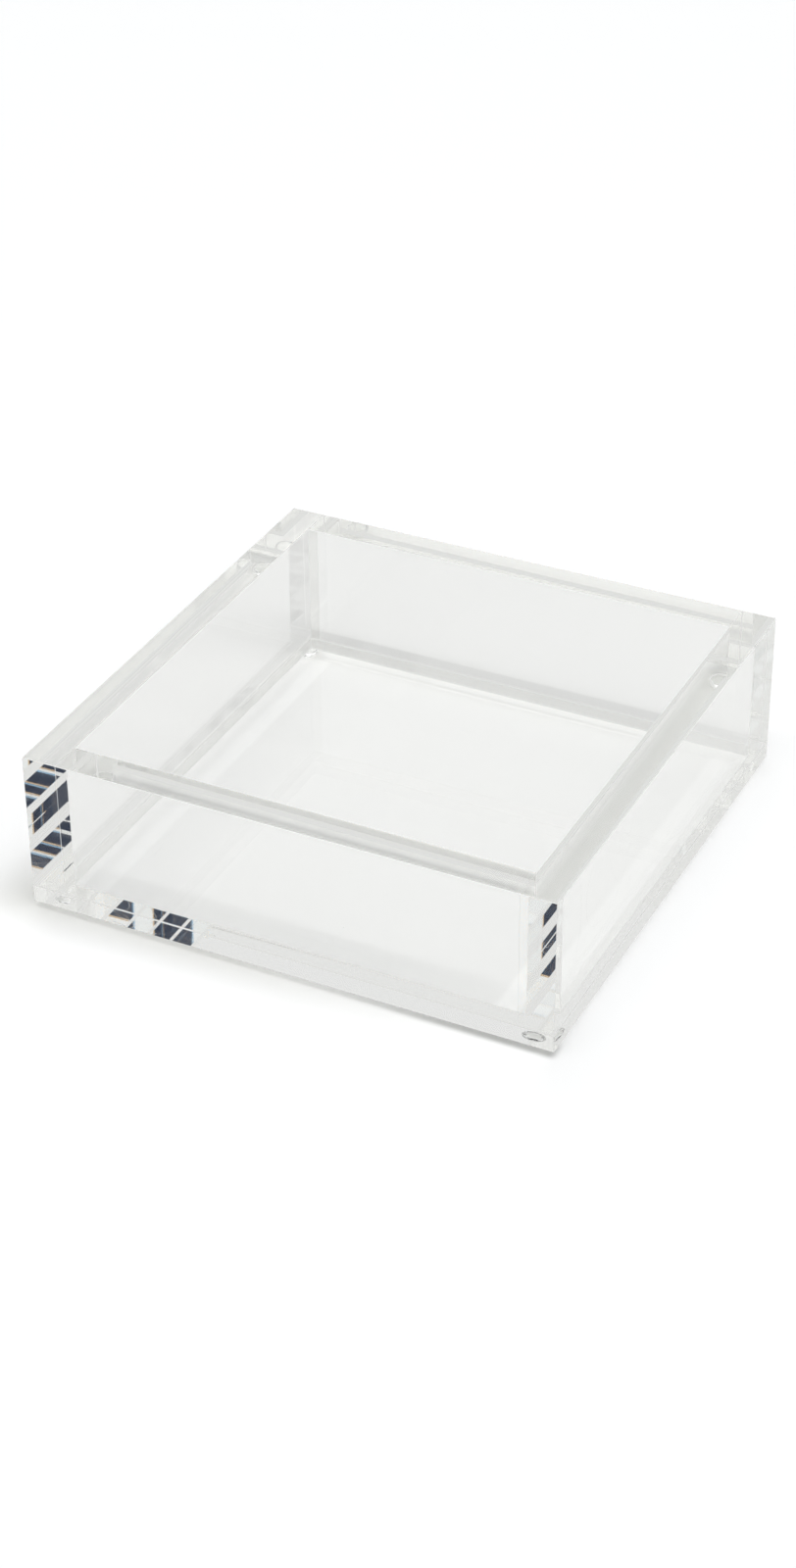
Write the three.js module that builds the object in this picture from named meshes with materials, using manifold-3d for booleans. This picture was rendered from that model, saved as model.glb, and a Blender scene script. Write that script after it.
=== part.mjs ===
// Napkin tray of clear acrylic sheet: four polished walls cemented onto a square base plate, which stands on
// four stick-on bumper feet. Sizes are in millimetres and +Z is up. The origin lies on the table, under the
// middle of the tray, and the front wall faces -Y.

import * as THREE from 'three';
import { mergeVertices } from 'three/addons/utils/BufferGeometryUtils.js';
import Module from 'manifold-3d';

// Driving dimensions of the acrylic
const TRAY_WIDTH = 152; // along X, over the outer faces of the side walls
const TRAY_DEPTH = 152; // along Y, over the outer faces of the front and back walls
const WALL_THICKNESS = 10;
const WALL_HEIGHT = 40.6;
const BASE_THICKNESS = 5;
const EDGE_EASE = 0.15; // leg of the 45 degree arris polished on every outside edge and on the mouth
const CEMENT_LINE = 0.1; // clear cement film that each joint holds between its two faces

// Driving dimensions of the bumper feet
const FOOT_DIAMETER = 6.4;
const FOOT_HEIGHT = 1.9;
const FOOT_CROWN_DIAMETER = 3.2; // flat on the table
const FOOT_SKIRT = 0.5; // straight rim next to the base plate, before the dome begins
const FOOT_INSET = 7.2; // from the tray's outer faces to the middle of a foot
const FOOT_ADHESIVE = 0.1; // sticky film between a foot and the base plate

// Facets of the round pieces
const FOOT_SIDES = 40;
const DOME_STEPS = 6;

// Levels and inner sizes that follow from them
const BASE_BOTTOM = FOOT_HEIGHT + FOOT_ADHESIVE;
const BASE_TOP = BASE_BOTTOM + BASE_THICKNESS;
const WALL_BOTTOM = BASE_TOP + CEMENT_LINE;
const RIM = WALL_BOTTOM + WALL_HEIGHT;
const OUTER_X = TRAY_WIDTH / 2;
const OUTER_Y = TRAY_DEPTH / 2;
const INNER_X = OUTER_X - WALL_THICKNESS;
const INNER_Y = OUTER_Y - WALL_THICKNESS;

const wasm = await Module();
wasm.setup();

// A closed geometry as a solid that can be cut
function solidOf(geometry) {
  geometry.deleteAttribute('normal');
  geometry.deleteAttribute('uv');
  const merged = mergeVertices(geometry);
  const mesh = new wasm.Mesh({
    numProp: 3,
    vertProperties: new Float32Array(merged.attributes.position.array),
    triVerts: new Uint32Array(merged.index.array),
  });
  return new wasm.Manifold(mesh);
}

// A solid back as a geometry with flat faces
function geometryOf(solid) {
  const { vertProperties, triVerts } = solid.getMesh();
  const indexed = new THREE.BufferGeometry();
  indexed.setAttribute('position', new THREE.BufferAttribute(vertProperties, 3));
  indexed.setIndex(new THREE.BufferAttribute(triVerts, 1));
  const geometry = indexed.toNonIndexed();
  geometry.computeVertexNormals();
  return geometry;
}

// A rectangle about the origin, with its corners cut off by the given leg where there is one
function rectangle(halfX, halfY, cut) {
  const corners = [[1, -1], [1, 1], [-1, 1], [-1, -1]];
  const points = [];
  for (const [signX, signY] of corners) {
    const alongX = new THREE.Vector2(signX * (halfX - cut), signY * halfY);
    const alongY = new THREE.Vector2(signX * halfX, signY * (halfY - cut));
    const startsAlongX = signX !== signY;
    if (cut === 0) points.push(alongX);
    else if (startsAlongX) points.push(alongX, alongY);
    else points.push(alongY, alongX);
  }
  return new THREE.Shape(points);
}

// A plain piece of sheet between two corners, before its edges are eased
function sheet(low, high) {
  const size = new THREE.Vector3().subVectors(high, low);
  const middle = new THREE.Vector3().addVectors(low, high).multiplyScalar(0.5);
  const geometry = new THREE.BoxGeometry(size.x, size.y, size.z);
  geometry.translate(middle.x, middle.y, middle.z);
  return solidOf(geometry);
}

// The whole tray's outside with every edge eased: the arrises are polished after the sheets are cemented
// together, so one envelope trims them all and the arrises meet in mitres across the joints.
function easedOutside() {
  const geometry = new THREE.ExtrudeGeometry(rectangle(OUTER_X, OUTER_Y, EDGE_EASE), {
    depth: RIM - BASE_BOTTOM - 2 * EDGE_EASE,
    bevelThickness: EDGE_EASE,
    bevelSize: EDGE_EASE,
    bevelOffset: -EDGE_EASE,
    bevelSegments: 1,
  });
  geometry.translate(0, 0, BASE_BOTTOM + EDGE_EASE);
  return solidOf(geometry);
}

// The tool that eases the inner edge of the rim, all round the mouth
function easedMouth() {
  const geometry = new THREE.ExtrudeGeometry(rectangle(INNER_X, INNER_Y, 0), {
    depth: EDGE_EASE,
    bevelThickness: EDGE_EASE,
    bevelSize: EDGE_EASE,
    bevelSegments: 1,
  });
  geometry.translate(0, 0, RIM);
  return solidOf(geometry);
}

function acrylic() {
  return new THREE.MeshStandardMaterial({
    color: 0xf3f6f4,
    roughness: 0.04,
    metalness: 0,
    transparent: true,
    opacity: 0.35,
  });
}

function clearRubber() {
  return new THREE.MeshStandardMaterial({
    color: 0xe9ecea,
    roughness: 0.25,
    metalness: 0,
    transparent: true,
    opacity: 0.6,
  });
}

const outside = easedOutside();
const mouth = easedMouth();
const tray = new THREE.Group();

// The base plate reaches out to the tray's outer faces, and the walls stand on it.
function addBasePlate() {
  const low = new THREE.Vector3(-OUTER_X, -OUTER_Y, BASE_BOTTOM);
  const high = new THREE.Vector3(OUTER_X, OUTER_Y, BASE_TOP);
  const plate = new THREE.Mesh(geometryOf(sheet(low, high).intersect(outside)), acrylic());
  plate.name = 'base_plate';
  tray.add(plate);
}

function addWall(name, lowX, lowY, highX, highY) {
  const low = new THREE.Vector3(lowX, lowY, WALL_BOTTOM);
  const high = new THREE.Vector3(highX, highY, RIM);
  const solid = sheet(low, high).intersect(outside).subtract(mouth);
  const wall = new THREE.Mesh(geometryOf(solid), acrylic());
  wall.name = name;
  tray.add(wall);
}

// The side walls run the whole depth, so their ends show on the front and the back of the tray.
function addSideWalls() {
  addWall('left_wall', -OUTER_X, -OUTER_Y, -INNER_X, OUTER_Y);
  addWall('right_wall', INNER_X, -OUTER_Y, OUTER_X, OUTER_Y);
}

// The front and back walls are butted between the side walls.
function addEndWalls() {
  const reach = INNER_X - CEMENT_LINE;
  addWall('front_wall', -reach, -OUTER_Y, reach, -INNER_Y);
  addWall('back_wall', -reach, INNER_Y, reach, OUTER_Y);
}

// A bumper foot: a flat crown on the table, a round dome and a straight skirt up to the base plate
function footProfile() {
  const radius = FOOT_DIAMETER / 2;
  const crown = FOOT_CROWN_DIAMETER / 2;
  const domeHeight = FOOT_HEIGHT - FOOT_SKIRT;
  const points = [new THREE.Vector2(0, 0)];
  for (let step = 0; step <= DOME_STEPS; step += 1) {
    const turn = (step / DOME_STEPS) * (Math.PI / 2);
    const out = crown + (radius - crown) * Math.sin(turn);
    const up = domeHeight * (1 - Math.cos(turn));
    points.push(new THREE.Vector2(out, up));
  }
  points.push(new THREE.Vector2(radius, FOOT_HEIGHT));
  points.push(new THREE.Vector2(0, FOOT_HEIGHT));
  return points;
}

function addFeet() {
  const reachX = OUTER_X - FOOT_INSET;
  const reachY = OUTER_Y - FOOT_INSET;
  for (const [row, signY] of [['front', -1], ['back', 1]]) {
    for (const [side, signX] of [['left', -1], ['right', 1]]) {
      const geometry = new THREE.LatheGeometry(footProfile(), FOOT_SIDES);
      geometry.rotateX(Math.PI / 2);
      const foot = new THREE.Mesh(geometryOf(solidOf(geometry)), clearRubber());
      foot.name = `${row}_${side}_foot`;
      foot.position.set(signX * reachX, signY * reachY, 0);
      tray.add(foot);
    }
  }
}

addBasePlate();
addSideWalls();
addEndWalls();
addFeet();

export default tray;
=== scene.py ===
"""Looks of a clear acrylic napkin tray: polished sheets cemented edge to face, on four clear bumper feet.

Lengths are in metres, in the frame of the CAD part: +Z is up and the front wall faces -Y.
"""

import math
from collections import namedtuple

import bmesh
import bpy
from mathutils import Matrix, Vector


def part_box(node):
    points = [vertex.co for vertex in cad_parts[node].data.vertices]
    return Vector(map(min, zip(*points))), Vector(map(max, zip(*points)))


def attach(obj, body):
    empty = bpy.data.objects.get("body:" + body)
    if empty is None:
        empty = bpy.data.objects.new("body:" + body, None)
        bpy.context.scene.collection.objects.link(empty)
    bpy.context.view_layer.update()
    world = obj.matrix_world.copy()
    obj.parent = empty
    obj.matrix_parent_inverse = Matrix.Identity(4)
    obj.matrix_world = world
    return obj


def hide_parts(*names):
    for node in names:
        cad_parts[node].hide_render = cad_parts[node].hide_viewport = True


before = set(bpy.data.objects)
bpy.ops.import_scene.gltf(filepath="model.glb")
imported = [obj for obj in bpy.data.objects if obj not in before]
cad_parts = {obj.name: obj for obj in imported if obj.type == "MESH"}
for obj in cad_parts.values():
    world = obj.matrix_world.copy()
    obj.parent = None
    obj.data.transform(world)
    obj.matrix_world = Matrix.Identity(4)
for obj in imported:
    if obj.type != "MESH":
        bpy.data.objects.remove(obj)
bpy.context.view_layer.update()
MM = 0.001

# Levels and faces of the tray, read from the CAD solids
FEET = ("front_left_foot", "front_right_foot", "back_left_foot", "back_right_foot")
BASE_LOW, BASE_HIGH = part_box("base_plate")
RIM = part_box("left_wall")[1].z
WALL_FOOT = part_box("left_wall")[0].z
OUTER = BASE_HIGH.x
INNER = -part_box("left_wall")[1].x
END_WALL_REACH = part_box("front_wall")[1].x
FOOT_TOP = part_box(FEET[0])[1].z
FOOT_PLACES = {}
for foot_name in FEET:
    foot_low, foot_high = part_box(foot_name)
    FOOT_PLACES[foot_name] = ((foot_low + foot_high) / 2, (foot_high.x - foot_low.x) / 2)

# How the CAD's faces are joined and told apart
FILM_GAP = 0.01 * MM  # left between a wall's cemented face and its neighbour
WELD_DISTANCE = 0.002 * MM
FLAT_ANGLE = math.radians(0.2)
ON_PLANE = 0.004 * MM
ARRIS = 0.12 * MM  # a face whose middle is this near an outside plane belongs to the edge there
FOOT_SIDES = 64  # corners of the round face of the base's underside to which a foot is stuck

# Finish of the plastic
ACRYLIC_IOR = 1.491
RUBBER_IOR = 1.5
RUBBER_ROUGHNESS = 0.16
WHITE = (1.0, 1.0, 1.0)
HALF = 0.5
EDGE_TINT = (0.86, 0.86, 0.85)
SIDE_TINT = (0.96, 0.96, 0.95)
RIM_TINT = (0.97, 0.97, 0.96)
RUBBER_TINT = (0.97, 0.975, 0.97)
# Shares of the studio's light that fall straight through
EDGE_PASSES = (0.35, 0.35, 0.35)
RIM_PASSES = (0.5, 0.5, 0.5)
RUBBER_PASSES = (0.8, 0.8, 0.8)

# Colour fringes: the refractive index and the colour of the warm and of the cool half of the light
WARM_LIGHT = (1.486, (1.4, 1.0, 0.6))
COOL_LIGHT = (1.497, (0.6, 1.0, 1.4))
# Where the fringes show, in millimetres: up to a height on the front wall's foot, from a height on the wall
# ends, and between two places across the base's front edge
FRINGE_ON_FOOT = 4.2
FRINGE_ON_WALL_END = 4.0
FRINGE_ACROSS = (-56.0, -22.0)
FRINGE_SOFT = 1.0

# Marks on the surfaces, with their lengths in millimetres
SPECK_SPACING = 9.0
SPECK_RADIUS = 0.16
SPECK_ROUGHNESS = 0.45
SHEET_SPECKS = 1.0
POLISH_SPECKS = 0.6
HAIR_LENGTH = 30.0
HAIR_WIDTH = 0.0012  # a hairline lies where its noise is this near the middle
HAIR_ROUGHNESS = 0.12
# Length and height of the sheet's waves, of the polishing lines and of the rubber's grain
SHEET_WAVE = (26.0, 0.006)
POLISH_LINE = (0.7, 0.00001)
POLISH_RUN = 40.0  # how far a polishing line runs
RUBBER_GRAIN = (0.35, 0.002)

# The cement film, in millimetres: it stops short of a joint's open edges, with a bubbly border
BARE_OUTSIDE = 1.25
BARE_INSIDE = 1.1
BARE_RIM = 0.4
BARE_LESS_UPRIGHT = 0.8
WANDER = 0.2
WANDER_LENGTH = 18.0
RAGGED = 0.02
RAGGED_LENGTH = 0.6
BUBBLE_SPACING = 3.2
BUBBLE_RADIUS = 0.12
BUBBLE_REACH = 0.6
STRAY_SPACING = 9.0
STRAY_BUBBLE = 0.1
BARE_COLOUR = (0.93, 0.935, 0.925)
FILM_TINT = (0.99, 0.99, 0.985)
# Tones of painted glow inside the plastic: of a bare joint, and of light that has met more than so many faces
BARE_GLOW = (0.735, 0.74, 0.725)
GLOW_TONE = (0.77, 0.775, 0.765)
GLOW_BOUNCES = 12

# The sticky film of a foot, in millimetres: bubbles by spacing and radius, and the widths of its rings
ADHESIVE_BUBBLE = (0.9, 0.1)
STUCK_RING = 0.4
DUST_RING = 0.3
DUST_LEVEL = 0.42  # dust lies where its noise is above this
DUST_COLOUR = (0.16, 0.16, 0.16)

# The photograph's camera, with the middle of the rim as its aim
CAMERA_AZIMUTH = math.radians(26.40)
CAMERA_ELEVATION = math.radians(33.28)
CAMERA_ROLL = math.radians(-0.495)
CAMERA_DISTANCE = 820.6 * MM
CAMERA_RIGHT = -3.8 * MM
CAMERA_UP = -26.6 * MM
CAMERA_NEAREST = 10 * MM
CAMERA_LENS = 69.88
SENSOR = 36.0

# The studio's light by direction, in degrees: azimuth from straight behind the tray towards its right
ROOM_LIGHT = (0.85, 0.87, 0.865)
ZONE_SOFT = 2.0
# Each zone: lowest and highest azimuth, lowest and highest elevation, colour
OVERHEAD = (-200.0, 200.0, 62.0, 100.0, (1.5, 1.5, 1.5))
RIGHT_SIDE = (80.0, 141.0, 10.0, 62.0, (1.5, 1.5, 1.5))
LEFT_SIDE = (-150.0, -60.0, 2.0, 62.0, (0.75, 0.75, 0.75))
UNLIT_CORNER = (3.0, 75.0, 6.0, 62.0, (0.004, 0.014, 0.042))
CAMERA_SIDE = (143.0, 167.0, 20.0, 44.0, (0.02, 0.02, 0.02))

# The long lamp, in metres
KEY_AZIMUTH = math.radians(146.4)
KEY_ELEVATION = math.radians(68.9)
KEY_DISTANCE = 3.0
KEY_LENGTH = 3.0
KEY_WIDTH = 0.15
KEY_STRENGTH = 0.56

# The table top, in metres, and its tones: to the camera, to other light, through the plastic, and with painted
# shade under a wall or in a rim's shadow, and painted light beside it
TABLE_REACH = 3.0
TABLE_DROP = 0.03 * MM
TABLE_SEEN = (0.98, 0.98, 0.98)
TABLE_BOUNCE = (0.84, 0.84, 0.83)
TABLE_THROUGH = (0.83, 0.83, 0.815)
TABLE_PAINTED_SHADE = (0.735, 0.735, 0.72)
TABLE_PAINTED_LIGHT = (0.97, 0.97, 0.955)
# The painted shade under two of the walls, in millimetres
UNDER_RIGHT_WALL = (67.0, 74.0)
UNDER_FRONT_WALL = (-75.0, -63.2)
UNDER_WALL_SOFT = 1.0
UNDER_TRAY_SOFT = 2.0
# Strips of painted shade (the rims' and back left corner's shadows) and of painted light on the table, seen
# through the plastic, in millimetres: the axis they lie on, their two ends, the softness of the ends and the
# share
PAINTED_SHADE_STRIPS = (
    ("across", -86.3, -82.3, 0.5, 1.0),
    ("across", -82.3, -76.5, 0.5, 0.55),
    ("along", 86.7, 91.2, 0.5, 0.85),
    ("corner", -40.0, -33.0, 0.3, 0.85),
)
# Painted light beside the walls, inside the tray
PAINTED_LIGHT_STRIPS = (
    ("across", -70.5, -66.8, 0.7, 1.0),
    ("across", -66.8, -60.0, 0.7, 0.4),
    ("across", 55.0, 61.5, 1.0, 0.55),
    ("along", 67.5, 73.0, 1.0, 0.5),
)
# The strips of painted shade end where they meet, at the outline of the rim's shadow
SHADE_OUTLINE_LEFT = -86.3
SHADE_OUTLINE_BACK = 91.2
# The shade behind the back left corner runs away from the tray along this azimuth
CORNER_SHADE_AZIMUTH = math.radians(-27.8)
# The contact shadow painted on the table: where it is gone and where it is full, in millimetres past each side
SHADE_LEFT = (26.0, 2.0)
SHADE_RIGHT = (10.0, -110.0)
SHADE_FRONT = (14.5, -3.5)
SHADE_BACK = (-110.0, -150.0)
SHADE_TONE = (0.72, 0.72, 0.70)
# The painted shadow line under the base's front edge: where it is gone and where it is full, in millimetres
# across the tray from the left and from the right, and past the front face from the front and from the back
LINE_LEFT = (-10.0, 55.0)
LINE_RIGHT = (77.0, 74.0)
LINE_FRONT = (1.2, -1.5)
LINE_BACK = (-8.0, -4.0)
LINE_TONE = (0.56, 0.56, 0.55)

# How often light may be thrown on, and how many clear layers it may cross
MOST_BOUNCES = 40
MOST_CLEAR_LAYERS = 80


# Nodes

class Sketch:
    """Short calls for adding nodes to one node tree."""

    def __init__(self, tree):
        self.nodes = tree.nodes
        self.links = tree.links

    def put(self, socket, value):
        if isinstance(value, bpy.types.NodeSocket):
            self.links.new(value, socket)
        elif isinstance(value, tuple) and len(value) == 3 and socket.type == "RGBA":
            socket.default_value = (*value, 1.0)
        else:
            socket.default_value = value

    def maths(self, operation, *values):
        node = self.nodes.new("ShaderNodeMath")
        node.operation = operation
        for socket, value in zip(node.inputs, values):
            self.put(socket, value)
        return node.outputs[0]

    def rise(self, value, start, end):
        """0 at the start and before it, 1 at the end and past it, and a smooth climb between."""
        node = self.nodes.new("ShaderNodeMapRange")
        node.interpolation_type = "SMOOTHSTEP"
        self.put(node.inputs["Value"], value)
        self.put(node.inputs["From Min"], start)
        self.put(node.inputs["From Max"], end)
        return node.outputs["Result"]

    def between(self, value, low, high, soft):
        """1 from low to high, with soft ends."""
        return self.maths(
            "MULTIPLY",
            self.rise(value, low - soft, low + soft),
            self.rise(value, high + soft, high - soft),
        )

    def blend(self, share, first, second):
        """One colour passing into another as the share goes from 0 to 1."""
        node = self.nodes.new("ShaderNodeMix")
        node.data_type = "RGBA"
        # The node has sockets for each kind of value, and these are the ones for colours.
        self.put(node.inputs[0], share)
        self.put(node.inputs[6], first)
        self.put(node.inputs[7], second)
        return node.outputs[2]

    def mix(self, share, first, second):
        """One shader passing into another as the share goes from 0 to 1."""
        node = self.nodes.new("ShaderNodeMixShader")
        self.put(node.inputs[0], share)
        self.put(node.inputs[1], first.outputs[0])
        self.put(node.inputs[2], second.outputs[0])
        return node


def noise(sketch, place, length, detail=1.0):
    """Soft noise from 0 to 1 over places in millimetres, with patches of about the given length."""
    node = sketch.nodes.new("ShaderNodeTexNoise")
    sketch.put(node.inputs["Vector"], place)
    sketch.put(node.inputs["Scale"], 1.0 / length)
    sketch.put(node.inputs["Detail"], detail)
    return node.outputs["Fac"]


Place = namedtuple("Place", "vector across along height")


def place_in_millimetres(sketch):
    spot = sketch.nodes.new("ShaderNodeTexCoord")
    scaled = sketch.nodes.new("ShaderNodeVectorMath")
    scaled.operation = "SCALE"
    sketch.put(scaled.inputs[0], spot.outputs["Object"])
    sketch.put(scaled.inputs["Scale"], 1.0 / MM)
    axes = sketch.nodes.new("ShaderNodeSeparateXYZ")
    sketch.put(axes.inputs[0], scaled.outputs[0])
    return Place(scaled.outputs[0], axes.outputs["X"], axes.outputs["Y"], axes.outputs["Z"])


# Effects that several materials share

def new_group(name, inputs, outputs):
    """A node group with its sketch and its two ends; the sockets are given by name and kind."""
    group = bpy.data.node_groups.new(name, "ShaderNodeTree")
    for direction, sockets in (("INPUT", inputs), ("OUTPUT", outputs)):
        for socket, kind in sockets.items():
            group.interface.new_socket(socket, in_out=direction, socket_type="NodeSocket" + kind)
    given = group.nodes.new("NodeGroupInput")
    made = group.nodes.new("NodeGroupOutput")
    return group, Sketch(group), given, made


def use_group(sketch, group, values):
    """Places a group in a material, with its own values, and gives back its outputs."""
    node = sketch.nodes.new("ShaderNodeGroup")
    node.node_tree = group
    for socket, value in values.items():
        sketch.put(node.inputs[socket], value)
    return node.outputs


def surface_marks():
    """A group for the marks on a clear surface: dust specks, fine hairlines and a faint waviness.

    Place is in millimetres, Wave Scale in waves per millimetre along each axis and Specks the share of dust.
    """
    group, sketch, given, made = new_group(
        "surface_marks",
        {"Place": "Vector", "Wave Scale": "Vector", "Specks": "Float"},
        {"Roughness": "Float", "Height": "Float"},
    )
    place = given.outputs["Place"]
    cells = sketch.nodes.new("ShaderNodeTexVoronoi")
    sketch.put(cells.inputs["Vector"], place)
    sketch.put(cells.inputs["Scale"], 1.0 / SPECK_SPACING)
    size = sketch.nodes.new("ShaderNodeSeparateColor")
    sketch.put(size.inputs[0], cells.outputs["Color"])
    radius = sketch.maths("MULTIPLY", size.outputs[0], given.outputs["Specks"])
    radius = sketch.maths("MULTIPLY", radius, SPECK_RADIUS / SPECK_SPACING)
    speck = sketch.maths("LESS_THAN", cells.outputs["Distance"], radius)
    level = sketch.maths("SUBTRACT", noise(sketch, place, HAIR_LENGTH, 0.0), HALF)
    hair = sketch.maths("LESS_THAN", sketch.maths("ABSOLUTE", level), HAIR_WIDTH)
    rough_speck = sketch.maths("MULTIPLY", speck, SPECK_ROUGHNESS)
    rough_hair = sketch.maths("MULTIPLY", hair, HAIR_ROUGHNESS)
    sketch.put(made.inputs["Roughness"], sketch.maths("MAXIMUM", rough_speck, rough_hair))
    stretched = sketch.nodes.new("ShaderNodeVectorMath")
    stretched.operation = "MULTIPLY"
    sketch.put(stretched.inputs[0], place)
    sketch.put(stretched.inputs[1], given.outputs["Wave Scale"])
    sketch.put(made.inputs["Height"], noise(sketch, stretched.outputs[0], 1.0, 0.0))
    return group


def round_bubbles():
    """A group that is 1 inside round bubbles; Place, Spacing and Radius are in millimetres."""
    group, sketch, given, made = new_group(
        "round_bubbles",
        {"Place": "Vector", "Spacing": "Float", "Radius": "Float"},
        {"Inside": "Float"},
    )
    cells = sketch.nodes.new("ShaderNodeTexVoronoi")
    sketch.put(cells.inputs["Vector"], given.outputs["Place"])
    sketch.put(cells.inputs["Scale"], sketch.maths("DIVIDE", 1.0, given.outputs["Spacing"]))
    size = sketch.maths("DIVIDE", given.outputs["Radius"], given.outputs["Spacing"])
    sketch.put(made.inputs["Inside"], sketch.maths("LESS_THAN", cells.outputs["Distance"], size))
    return group


MARKS = surface_marks()
BUBBLES = round_bubbles()


def mark_surface(sketch, shader, wave_scale, wave_height, specks):
    """Puts the surface marks on a shader and gives back its normal; a wave's height is in millimetres."""
    marks = use_group(sketch, MARKS, {
        "Place": place_in_millimetres(sketch).vector,
        "Wave Scale": wave_scale,
        "Specks": specks,
    })
    bump = sketch.nodes.new("ShaderNodeBump")
    sketch.put(bump.inputs["Distance"], wave_height * MM)
    sketch.put(bump.inputs["Height"], marks["Height"])
    sketch.put(shader.inputs["Roughness"], marks["Roughness"])
    sketch.put(shader.inputs["Normal"], bump.outputs[0])
    return bump.outputs[0]


def sheet_marks(sketch, shader):
    length, height = SHEET_WAVE
    return mark_surface(sketch, shader, (1 / length, 1 / length, 1 / length), height, SHEET_SPECKS)


def polish_marks(sketch, shader, runs_along):
    """Fine polishing lines that run along a cut edge, given as the axis of its length."""
    spacing, height = POLISH_LINE
    scale = [1 / spacing] * 3
    scale["xyz".index(runs_along)] = 1 / POLISH_RUN
    return mark_surface(sketch, shader, tuple(scale), height, POLISH_SPECKS)


def bubbles(sketch, place, spacing, radius):
    values = {"Place": place.vector, "Spacing": spacing, "Radius": radius}
    return use_group(sketch, BUBBLES, values)["Inside"]


# Materials

def new_material(name):
    """A node material, its sketch and its Principled shader."""
    material = bpy.data.materials.new(name)
    material.use_nodes = True
    tree = material.node_tree
    return material, Sketch(tree), tree.nodes["Principled BSDF"]


def show(sketch, shader):
    sketch.put(sketch.nodes["Material Output"].inputs["Surface"], shader.outputs[0])


def by_other_faces(sketch):
    """1 for what is seen through another face, or mirrored in it."""
    path = sketch.nodes.new("ShaderNodeLightPath")
    return sketch.maths("MAXIMUM", path.outputs["Is Glossy Ray"], path.outputs["Is Transmission Ray"])


def painted_glow(sketch, shader, tone, share):
    """Paints a glow on a face seen by way of other faces: the one tone that light takes inside the plastic."""
    light = sketch.nodes.new("ShaderNodeEmission")
    sketch.put(light.inputs["Color"], tone)
    return sketch.mix(sketch.maths("MULTIPLY", by_other_faces(sketch), share), shader, light)


def long_run_glow(sketch, shader):
    """Ends light that has been thrown to and fro inside the plastic in one even painted glow."""
    path = sketch.nodes.new("ShaderNodeLightPath")
    long_run = sketch.maths("GREATER_THAN", path.outputs["Ray Depth"], GLOW_BOUNCES + HALF)
    return painted_glow(sketch, shader, GLOW_TONE, long_run)


def straight_through(sketch):
    """The share of light that a polished face doesn't mirror away, by how steeply the light meets it."""
    side = sketch.nodes.new("ShaderNodeNewGeometry")
    mirror = sketch.nodes.new("ShaderNodeFresnel")
    inward = 1.0 / ACRYLIC_IOR - ACRYLIC_IOR
    index = sketch.maths("MULTIPLY_ADD", side.outputs["Backfacing"], inward, ACRYLIC_IOR)
    sketch.put(mirror.inputs["IOR"], index)
    return sketch.maths("SUBTRACT", 1.0, mirror.outputs[0])


def prism_colours(sketch, shader, normal, where, spread):
    """Parts the colours of what is seen through a face, where asked, by bending warm light less than cool.

    The spread, from 0 to 1, says how far they part.
    """
    halves = []
    for ior, colour in (WARM_LIGHT, COOL_LIGHT):
        glass = sketch.nodes.new("ShaderNodeBsdfGlass")
        bend = sketch.maths("MULTIPLY_ADD", spread, ior - ACRYLIC_IOR, ACRYLIC_IOR)
        sketch.put(glass.inputs["Color"], sketch.blend(spread, WHITE, colour))
        sketch.put(glass.inputs["Roughness"], 0.0)
        sketch.put(glass.inputs["IOR"], bend)
        sketch.put(glass.inputs["Normal"], normal)
        halves.append(glass)
    parted = sketch.mix(HALF, *halves)
    path = sketch.nodes.new("ShaderNodeLightPath")
    return sketch.mix(sketch.maths("MULTIPLY", path.outputs["Is Camera Ray"], where), shader, parted)


def pass_light(sketch, shader, share):
    """Shows a clear face's shader, and lets a share of the studio's light straight through on to the table."""
    path = sketch.nodes.new("ShaderNodeLightPath")
    clear = sketch.nodes.new("ShaderNodeBsdfTransparent")
    sketch.put(clear.inputs["Color"], share)
    show(sketch, sketch.mix(path.outputs["Is Shadow Ray"], shader, clear))


def clear_plastic(name, colour, ior):
    material, sketch, shader = new_material(name)
    sketch.put(shader.inputs["Base Color"], colour)
    sketch.put(shader.inputs["Roughness"], 0.0)
    sketch.put(shader.inputs["IOR"], ior)
    sketch.put(shader.inputs["Transmission Weight"], 1.0)
    return material, sketch, shader


def wall_face():
    material, sketch, shader = clear_plastic("wall_face", WHITE, ACRYLIC_IOR)
    normal = sheet_marks(sketch, shader)
    place = place_in_millimetres(sketch)
    foot = sketch.maths("LESS_THAN", place.height, WALL_FOOT / MM + FRINGE_ON_FOOT)
    front = sketch.maths("LESS_THAN", place.along, (ARRIS - OUTER) / MM)
    by_patches = sketch.between(place.across, *FRINGE_ACROSS, FRINGE_SOFT)
    where = sketch.maths("MULTIPLY", sketch.maths("MULTIPLY", foot, front), by_patches)
    glow = long_run_glow(sketch, prism_colours(sketch, shader, normal, where, 1.0))
    pass_light(sketch, glow, straight_through(sketch))
    return material


def polished_edge():
    material, sketch, shader = clear_plastic("polished_edge", EDGE_TINT, ACRYLIC_IOR)
    normal = polish_marks(sketch, shader, "x")
    place = place_in_millimetres(sketch)
    on_wall_end = sketch.maths("GREATER_THAN", place.height, WALL_FOOT / MM + FRINGE_ON_WALL_END)
    on_base = sketch.between(place.across, *FRINGE_ACROSS, FRINGE_SOFT)
    spread = sketch.maths("MAXIMUM", on_wall_end, on_base)
    pass_light(sketch, prism_colours(sketch, shader, normal, 1.0, spread), EDGE_PASSES)
    return material


def polished_side():
    material, sketch, shader = clear_plastic("polished_side", SIDE_TINT, ACRYLIC_IOR)
    polish_marks(sketch, shader, "y")
    pass_light(sketch, shader, EDGE_PASSES)
    return material


def cloud(sketch, shader, colour):
    """A thin cloudy layer, which throws light back and onwards alike."""
    sketch.put(shader.inputs["Base Color"], colour)
    sketch.put(shader.inputs["Roughness"], 1.0)
    sketch.put(shader.inputs["Specular IOR Level"], 0.0)
    onward = sketch.nodes.new("ShaderNodeBsdfTranslucent")
    sketch.put(onward.inputs["Color"], colour)
    return sketch.mix(HALF, shader, onward)


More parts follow.
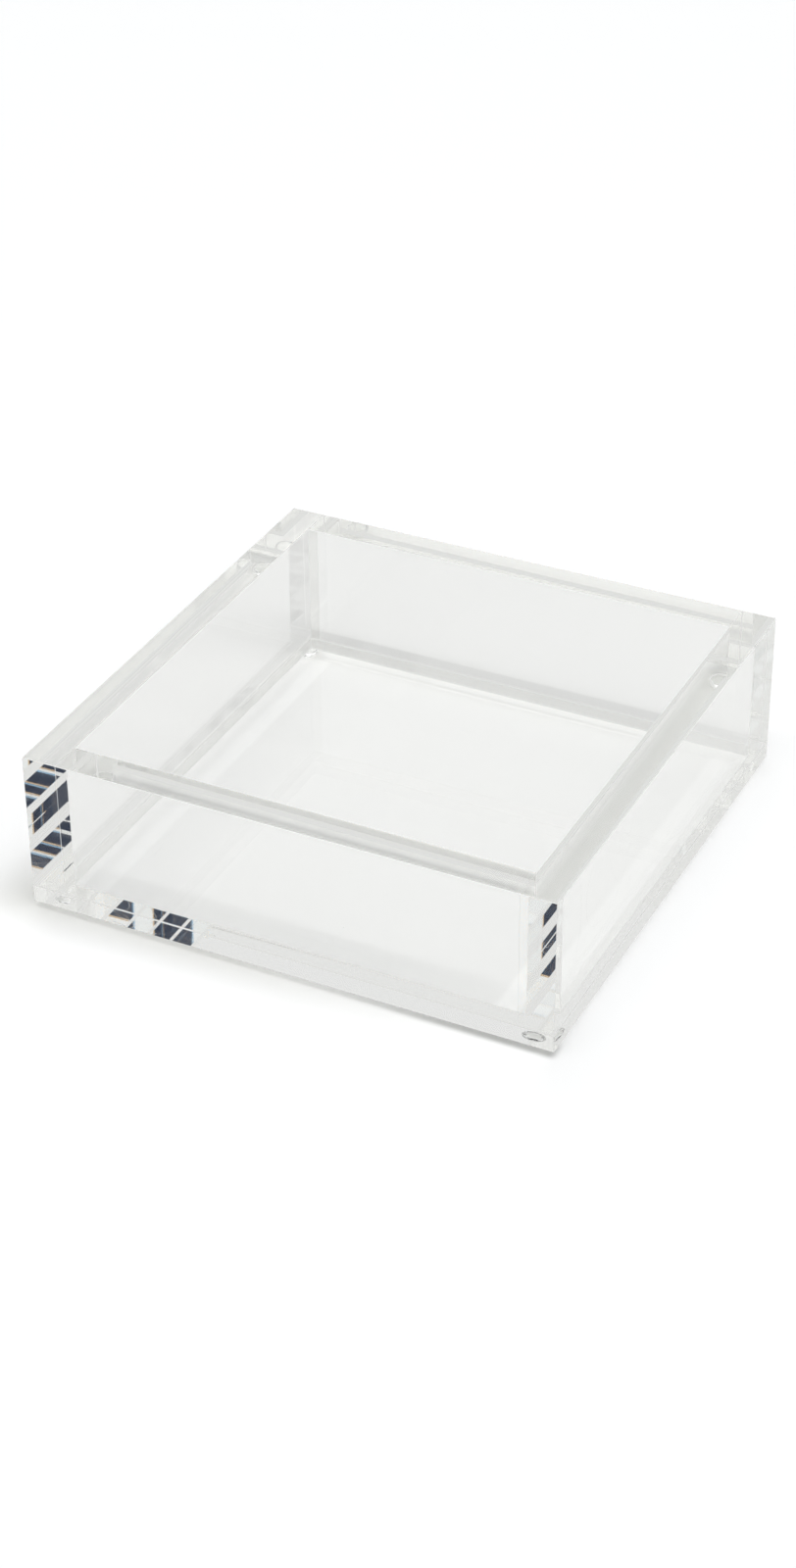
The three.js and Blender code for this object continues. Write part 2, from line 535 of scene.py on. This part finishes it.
def frosted_arris():
    material, sketch, shader = new_material("frosted_arris")
    pass_light(sketch, cloud(sketch, shader, BARE_COLOUR), RIM_PASSES)
    return material


def polished_rim():
    material, sketch, shader = clear_plastic("polished_rim", RIM_TINT, ACRYLIC_IOR)
    sheet_marks(sketch, shader)
    pass_light(sketch, long_run_glow(sketch, shader), RIM_PASSES)
    return material


def base_face():
    material, sketch, shader = clear_plastic("base_face", WHITE, ACRYLIC_IOR)
    sheet_marks(sketch, shader)
    pass_light(sketch, long_run_glow(sketch, shader), WHITE)
    return material


def clear_bumper():
    material, sketch, shader = clear_plastic("clear_bumper", RUBBER_TINT, RUBBER_IOR)
    length, height = RUBBER_GRAIN
    grain = noise(sketch, place_in_millimetres(sketch).vector, length)
    bump = sketch.nodes.new("ShaderNodeBump")
    sketch.put(bump.inputs["Distance"], height * MM)
    sketch.put(bump.inputs["Height"], grain)
    sketch.put(shader.inputs["Normal"], bump.outputs[0])
    sketch.put(shader.inputs["Roughness"], sketch.maths("MULTIPLY", grain, RUBBER_ROUGHNESS))
    pass_light(sketch, shader, RUBBER_PASSES)
    return material


def filled_depth(sketch, place):
    """How far a spot lies inside the cement film's border, in millimetres; below 0 it is bare."""
    off_across = sketch.maths("ABSOLUTE", place.across)
    off_along = sketch.maths("ABSOLUTE", place.along)
    reach = sketch.maths("MAXIMUM", off_across, off_along)
    filled = sketch.maths("SUBTRACT", OUTER / MM - BARE_OUTSIDE, reach)
    filled = sketch.maths("MINIMUM", filled, sketch.maths("SUBTRACT", reach, INNER / MM + BARE_INSIDE))
    upright = sketch.maths("GREATER_THAN", place.height, WALL_FOOT / MM)
    filled = sketch.maths("MULTIPLY_ADD", upright, BARE_LESS_UPRIGHT, filled)
    filled = sketch.maths("MINIMUM", filled, sketch.maths("SUBTRACT", RIM / MM - BARE_RIM, place.height))
    for length, size in ((WANDER_LENGTH, WANDER), (RAGGED_LENGTH, RAGGED)):
        sway = sketch.maths("SUBTRACT", noise(sketch, place.vector, length), HALF)
        filled = sketch.maths("MULTIPLY_ADD", sway, -2 * size, filled)
    return filled


def bare_spots(sketch):
    """1 where the cement didn't run: along the open edges of a joint, and in bubbles near that border."""
    place = place_in_millimetres(sketch)
    filled = filled_depth(sketch, place)
    radius = sketch.maths("MULTIPLY", sketch.rise(filled, BUBBLE_REACH, 0.0), BUBBLE_RADIUS)
    in_bubble = bubbles(sketch, place, BUBBLE_SPACING, radius)
    return sketch.maths("MAXIMUM", sketch.maths("LESS_THAN", filled, 0.0), in_bubble)


def cement_film():
    """A cemented face: clear where the film fills the joint, cloudy with a painted glow along its open edges.
    """
    material, sketch, shader = new_material("cement_film")
    clear = sketch.nodes.new("ShaderNodeBsdfTransparent")
    sketch.put(clear.inputs["Color"], FILM_TINT)
    # Seen by way of other faces, the cloudy edges show a painted glow of even tone
    bare = painted_glow(sketch, cloud(sketch, shader, BARE_COLOUR), BARE_GLOW, 1.0)
    show(sketch, sketch.mix(bare_spots(sketch), clear, bare))
    return material


def wetted_face():
    """A face that the cement wets all over, so that light goes straight on, with a few stray bubbles."""
    material, sketch, shader = clear_plastic("wetted_face", WHITE, ACRYLIC_IOR)
    place = place_in_millimetres(sketch)
    sketch.put(shader.inputs["Alpha"], bubbles(sketch, place, STRAY_SPACING, STRAY_BUBBLE))
    return material


def off_foot_middle(sketch, place, middle):
    """The distance in millimetres from the middle of the foot at the same corner; all four lie alike."""
    off_x = sketch.maths("SUBTRACT", sketch.maths("ABSOLUTE", place.across), abs(middle.x) / MM)
    off_y = sketch.maths("SUBTRACT", sketch.maths("ABSOLUTE", place.along), abs(middle.y) / MM)
    square = sketch.maths("MULTIPLY_ADD", off_x, off_x, sketch.maths("MULTIPLY", off_y, off_y))
    return sketch.maths("SQRT", square)


def dusty_border(sketch, place, off, radius):
    """1 on the patchy ring of dust along the border of the front right foot's film."""
    border = sketch.maths("GREATER_THAN", off, radius / MM - DUST_RING)
    patchy = sketch.maths("GREATER_THAN", noise(sketch, place.vector, DUST_RING), DUST_LEVEL)
    front_right = sketch.maths("SUBTRACT", place.across, place.along)
    at_foot = sketch.maths("GREATER_THAN", front_right, OUTER / MM)
    return sketch.maths("MULTIPLY", sketch.maths("MULTIPLY", border, patchy), at_foot)


def foot_adhesive():
    """The sticky film over a foot: clear, with fine bubbles and a ring of air along its border."""
    material, sketch, shader = clear_plastic("foot_adhesive", WHITE, ACRYLIC_IOR)
    place = place_in_millimetres(sketch)
    middle, radius = FOOT_PLACES[FEET[0]]
    off = off_foot_middle(sketch, place, middle)
    ring = sketch.maths("GREATER_THAN", off, radius / MM - STUCK_RING)
    fine = bubbles(sketch, place, *ADHESIVE_BUBBLE)
    sketch.put(shader.inputs["Alpha"], sketch.maths("MAXIMUM", ring, fine))
    dust = sketch.nodes.new("ShaderNodeBsdfDiffuse")
    sketch.put(dust.inputs["Color"], DUST_COLOUR)
    pass_light(sketch, sketch.mix(dusty_border(sketch, place, off, radius), shader, dust), WHITE)
    return material


# Pieces

SHEET, EDGE, SIDE_EDGE, RIM_FACE, FROST, CEMENT, WETTED, STUCK = range(8)
RUBBER, ADHESIVE = range(2)


def joined_copy(node):
    """A CAD solid with its loose triangles merged into whole faces."""
    mesh = bmesh.new()
    mesh.from_mesh(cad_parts[node].data)
    bmesh.ops.remove_doubles(mesh, verts=mesh.verts, dist=WELD_DISTANCE)
    bmesh.ops.dissolve_limit(mesh, angle_limit=FLAT_ANGLE, verts=mesh.verts, edges=mesh.edges)
    return mesh


def split_along(mesh, axis, value):
    """Cuts the faces of a sheet along an upright plane, where a neighbour's face ends."""
    normal = Vector((axis == "x", axis == "y", 0))
    everything = mesh.verts[:] + mesh.edges[:] + mesh.faces[:]
    bmesh.ops.bisect_plane(mesh, geom=everything, plane_co=normal * value, plane_no=normal, dist=ON_PLANE)


def finish_piece(mesh, name, node, materials, look):
    """Makes a piece of a mesh, each face of which takes the look that suits its middle."""
    for face in mesh.faces:
        face.material_index = look(face.calc_center_median())
    data = bpy.data.meshes.new(name)
    mesh.to_mesh(data)
    mesh.free()
    for material in materials:
        data.materials.append(material)
    piece = bpy.data.objects.new(name, data)
    bpy.context.scene.collection.objects.link(piece)
    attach(piece, "root")
    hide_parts(node)


def near(value, target):
    return abs(value - target) < ON_PLANE


def wall_with_cement(node):
    """A wall whose cemented faces reach through the film to the neighbouring sheets."""
    mesh = joined_copy(node)
    for corner in mesh.verts:
        if near(corner.co.z, WALL_FOOT):
            corner.co.z = BASE_HIGH.z + FILM_GAP
        if near(abs(corner.co.x), END_WALL_REACH):
            corner.co.x = math.copysign(INNER - FILM_GAP, corner.co.x)
    return mesh


def top_look(height):
    """The look of a wall's face at this height: the rim, the arris beside it, or plain sheet."""
    if near(height, RIM):
        return RIM_FACE
    return FROST if height > RIM - ARRIS else SHEET


def side_wall_look(middle):
    if near(middle.z, BASE_HIGH.z + FILM_GAP):
        return CEMENT
    if near(abs(middle.x), INNER) and abs(middle.y) > INNER:
        return WETTED
    if near(abs(middle.y), OUTER):
        return EDGE
    return top_look(middle.z)


def side_wall(node, looks):
    mesh = wall_with_cement(node)
    for end in (-INNER, INNER):
        split_along(mesh, "y", end)
    finish_piece(mesh, node + "_acrylic", node, looks, side_wall_look)


def end_wall_look(middle):
    on_base = near(middle.z, BASE_HIGH.z + FILM_GAP)
    on_side_wall = near(abs(middle.x), INNER - FILM_GAP)
    return CEMENT if on_base or on_side_wall else top_look(middle.z)


def end_wall(node, looks):
    mesh = wall_with_cement(node)
    finish_piece(mesh, node + "_acrylic", node, looks, end_wall_look)


def foot_circle(mesh, node):
    """A ring of edges on the underside of the base, where a foot is stuck."""
    middle, radius = FOOT_PLACES[node]
    corners = []
    for step in range(FOOT_SIDES):
        turn = 2 * math.pi * step / FOOT_SIDES
        place = (middle.x + radius * math.cos(turn), middle.y + radius * math.sin(turn), BASE_LOW.z)
        corners.append(mesh.verts.new(place))
    edges = []
    for step, corner in enumerate(corners):
        edges.append(mesh.edges.new((corners[step - 1], corner)))
    return corners, edges


def mark_off_feet(mesh):
    """Remakes the underside of the base with a round face where each foot is stuck."""
    underside = [face for face in mesh.faces if near(face.calc_center_median().z, BASE_LOW.z)]
    border = list({edge for face in underside for edge in face.edges})
    bmesh.ops.delete(mesh, geom=underside, context="FACES_ONLY")
    discs = []
    for foot in FEET:
        corners, edges = foot_circle(mesh, foot)
        border.extend(edges)
        discs.append(corners)
    bmesh.ops.triangle_fill(mesh, use_beauty=True, use_dissolve=False, edges=border)
    for face in mesh.faces:
        if near(face.calc_center_median().z, BASE_LOW.z) and face.normal.z > 0:
            face.normal_flip()
    for corners in discs:
        mesh.faces.new(list(reversed(corners)))
    mesh.normal_update()


def under_a_foot(place):
    return any((place.xy - middle.xy).length < radius for middle, radius in FOOT_PLACES.values())


def base_look(middle):
    reach = max(abs(middle.x), abs(middle.y))
    if near(middle.z, BASE_HIGH.z) and reach > INNER:
        return WETTED
    if near(middle.z, BASE_LOW.z) and under_a_foot(middle):
        return STUCK
    if abs(middle.x) > OUTER - ARRIS:
        return SIDE_EDGE
    return EDGE if reach > OUTER - ARRIS else SHEET


def base_plate(looks):
    mesh = joined_copy("base_plate")
    mark_off_feet(mesh)
    for axis in ("x", "y"):
        for side in (-INNER, INNER):
            split_along(mesh, axis, side)
    finish_piece(mesh, "base_plate_acrylic", "base_plate", looks, base_look)


def foot_look(middle):
    return ADHESIVE if near(middle.z, FOOT_TOP) else RUBBER


def bumper_foot(node, looks):
    finish_piece(joined_copy(node), node + "_bumper", node, looks, foot_look)


def build_tray():
    edge = polished_edge()
    rim = polished_rim()
    adhesive = foot_adhesive()
    rubber = clear_bumper()
    cement = cement_film()
    wetted = wetted_face()
    frost = frosted_arris()
    side = polished_side()
    base_plate((base_face(), edge, side, rim, frost, cement, wetted, adhesive))
    wall_looks = (wall_face(), edge, side, rim, frost, cement, wetted)
    for node in ("left_wall", "right_wall"):
        side_wall(node, wall_looks)
    for node in ("front_wall", "back_wall"):
        end_wall(node, wall_looks)
    for node in FEET:
        bumper_foot(node, (rubber, adhesive))


# Studio

def contact_shade(sketch):
    """1 beside the tray, falling to 0 where its painted contact shadow ends."""
    place = place_in_millimetres(sketch)
    share = 1.0
    for value, side, (gone, full) in (
        (place.across, -1, SHADE_LEFT),
        (place.across, 1, SHADE_RIGHT),
        (place.along, -1, SHADE_FRONT),
        (place.along, 1, SHADE_BACK),
    ):
        past = sketch.maths("MULTIPLY_ADD", value, side, -OUTER / MM)
        share = sketch.maths("MULTIPLY", share, sketch.rise(past, gone, full))
    return share


def gap_shadow_line(sketch):
    """1 on the painted shadow line in the narrow gap under the base's front edge, fading out towards the left.
    """
    place = place_in_millimetres(sketch)
    past = sketch.maths("MULTIPLY_ADD", place.along, -1, -OUTER / MM)
    from_left = sketch.rise(place.across, *LINE_LEFT)
    from_right = sketch.rise(place.across, *LINE_RIGHT)
    in_gap = sketch.maths("MULTIPLY", sketch.rise(past, *LINE_FRONT), sketch.rise(past, *LINE_BACK))
    return sketch.maths("MULTIPLY", sketch.maths("MULTIPLY", from_left, from_right), in_gap)


def under_walls(sketch):
    """1 on the strips of the table painted with the deeper shade under the right wall and the front wall."""
    place = place_in_millimetres(sketch)
    under_front = sketch.between(place.along, *UNDER_FRONT_WALL, UNDER_WALL_SOFT)
    under_right = sketch.between(place.across, *UNDER_RIGHT_WALL, UNDER_WALL_SOFT)
    return sketch.maths("MAXIMUM", under_front, under_right)


def table_strips(sketch, strips):
    """The share of the given painted strips at each spot, for light that met an even number of faces on its
    way.
    """
    place = place_in_millimetres(sketch)
    slanted = sketch.maths("MULTIPLY", place.across, math.cos(CORNER_SHADE_AZIMUTH))
    slanted = sketch.maths("MULTIPLY_ADD", place.along, -math.sin(CORNER_SHADE_AZIMUTH), slanted)
    axes = {"across": place.across, "along": place.along, "corner": slanted}
    limits = {
        "across": sketch.maths("LESS_THAN", place.along, SHADE_OUTLINE_BACK),
        "along": sketch.maths("GREATER_THAN", place.across, SHADE_OUTLINE_LEFT),
        "corner": sketch.rise(place.along, INNER / MM, OUTER / MM),
    }
    share = 0.0
    for axis, low, high, soft, strength in strips:
        strip = sketch.maths("MULTIPLY", sketch.between(axes[axis], low, high, soft), strength)
        share = sketch.maths("MAXIMUM", share, sketch.maths("MULTIPLY", strip, limits[axis]))
    path = sketch.nodes.new("ShaderNodeLightPath")
    odd = sketch.maths("MODULO", path.outputs["Ray Depth"], 2.0)
    return sketch.maths("MULTIPLY", share, sketch.maths("LESS_THAN", odd, HALF))


def under_tray(sketch):
    """1 on the table under the tray, apart from its front wall and its right wall."""
    place = place_in_millimetres(sketch)
    lengthwise = sketch.between(place.along, -INNER / MM, OUTER / MM, UNDER_TRAY_SOFT)
    crosswise = sketch.between(place.across, -OUTER / MM, INNER / MM, UNDER_TRAY_SOFT)
    return sketch.maths("MULTIPLY", lengthwise, crosswise)


def white_table_top():
    """A white bright enough to be the picture's ground, with the tray's shade, and light by its walls, painted
    on it.
    """
    material, sketch, shader = new_material("white_table")
    path = sketch.nodes.new("ShaderNodeLightPath")
    # For the camera, the painted contact shadow and the painted shadow line under the base's front edge
    seen = sketch.blend(contact_shade(sketch), TABLE_SEEN, SHADE_TONE)
    seen = sketch.blend(gap_shadow_line(sketch), seen, LINE_TONE)
    # Through the plastic, painted shade under two walls and in the rims' shadows
    through = sketch.blend(under_walls(sketch), TABLE_THROUGH, TABLE_PAINTED_SHADE)
    through = sketch.blend(table_strips(sketch, PAINTED_SHADE_STRIPS), through, TABLE_PAINTED_SHADE)
    # Painted light beside the walls, only under the tray
    painted_light_share = sketch.maths("MULTIPLY", table_strips(sketch, PAINTED_LIGHT_STRIPS), under_tray(sketch))
    through = sketch.blend(painted_light_share, through, TABLE_PAINTED_LIGHT)
    grey = sketch.blend(by_other_faces(sketch), TABLE_BOUNCE, through)
    grey = sketch.blend(path.outputs["Is Camera Ray"], grey, seen)
    sketch.put(shader.inputs["Base Color"], grey)
    sketch.put(shader.inputs["Roughness"], 1.0)
    sketch.put(shader.inputs["Specular IOR Level"], 0.0)
    return material


def white_table():
    mesh = bmesh.new()
    bmesh.ops.create_grid(mesh, x_segments=1, y_segments=1, size=TABLE_REACH)
    data = bpy.data.meshes.new("table")
    mesh.to_mesh(data)
    mesh.free()
    data.materials.append(white_table_top())
    table = bpy.data.objects.new("table", data)
    table.location.z = -TABLE_DROP
    bpy.context.scene.collection.objects.link(table)


def studio_world():
    """A white room, unlit in its far right corner and around the camera."""
    world = bpy.data.worlds.new("studio")
    bpy.context.scene.world = world
    world.use_nodes = True
    sketch = Sketch(world.node_tree)
    place = sketch.nodes.new("ShaderNodeTexCoord")
    axes = sketch.nodes.new("ShaderNodeSeparateXYZ")
    sketch.put(axes.inputs[0], place.outputs["Generated"])
    azimuth = sketch.maths("DEGREES", sketch.maths("ARCTAN2", axes.outputs["X"], axes.outputs["Y"]))
    elevation = sketch.maths("DEGREES", sketch.maths("ARCSINE", axes.outputs["Z"]))
    colour = ROOM_LIGHT
    for left, right, low, high, light in (OVERHEAD, RIGHT_SIDE, LEFT_SIDE, UNLIT_CORNER, CAMERA_SIDE):
        inside = sketch.maths(
            "MULTIPLY",
            sketch.between(azimuth, left, right, ZONE_SOFT),
            sketch.between(elevation, low, high, ZONE_SOFT),
        )
        colour = sketch.blend(inside, colour, light)
    sketch.put(sketch.nodes["Background"].inputs["Color"], colour)
    world.cycles.sampling_method = "NONE"


def key_light():
    """The long lamp above the camera that throws the front and back walls' shadows backwards."""
    towards = Vector((
        math.sin(KEY_AZIMUTH) * math.cos(KEY_ELEVATION),
        math.cos(KEY_AZIMUTH) * math.cos(KEY_ELEVATION),
        math.sin(KEY_ELEVATION),
    ))
    lengthwise = (Vector((1, 0, 0)) - towards * towards.x).normalized()
    turn = Matrix((lengthwise, towards.cross(lengthwise), towards)).transposed().to_4x4()
    data = bpy.data.lights.new("key", "AREA")
    data.shape = "RECTANGLE"
    data.size = KEY_LENGTH
    data.size_y = KEY_WIDTH
    data.energy = KEY_STRENGTH * math.pi * KEY_DISTANCE**2
    data.cycles.use_multiple_importance_sampling = False
    lamp = bpy.data.objects.new("key", data)
    lamp.matrix_world = Matrix.Translation(towards * KEY_DISTANCE) @ turn
    bpy.context.scene.collection.objects.link(lamp)


def camera():
    back = Vector((
        math.sin(CAMERA_AZIMUTH) * math.cos(CAMERA_ELEVATION),
        -math.cos(CAMERA_AZIMUTH) * math.cos(CAMERA_ELEVATION),
        math.sin(CAMERA_ELEVATION),
    ))
    level_right = Vector((math.cos(CAMERA_AZIMUTH), math.sin(CAMERA_AZIMUTH), 0))
    level_up = back.cross(level_right)
    right = level_right * math.cos(CAMERA_ROLL) + level_up * math.sin(CAMERA_ROLL)
    up = level_up * math.cos(CAMERA_ROLL) - level_right * math.sin(CAMERA_ROLL)
    aim = Vector((0, 0, RIM))
    place = aim + back * CAMERA_DISTANCE + right * CAMERA_RIGHT + up * CAMERA_UP
    turn = Matrix((right, up, back)).transposed().to_4x4()
    data = bpy.data.cameras.new("camera")
    data.lens = CAMERA_LENS
    data.sensor_width = SENSOR
    data.clip_start = CAMERA_NEAREST
    eye = bpy.data.objects.new("camera", data)
    eye.matrix_world = Matrix.Translation(place) @ turn
    bpy.context.scene.collection.objects.link(eye)
    bpy.context.scene.camera = eye


def light_paths():
    """Enough bounces for light that runs the length of a sheet between its faces."""
    cycles = bpy.context.scene.cycles
    cycles.max_bounces = MOST_BOUNCES
    cycles.glossy_bounces = MOST_BOUNCES
    cycles.transmission_bounces = MOST_BOUNCES
    cycles.transparent_max_bounces = MOST_CLEAR_LAYERS
    cycles.blur_glossy = 0.0
    cycles.caustics_reflective = True
    cycles.caustics_refractive = True
    bpy.context.scene.view_settings.view_transform = "Standard"


build_tray()
white_table()
studio_world()
key_light()
camera()
light_paths()
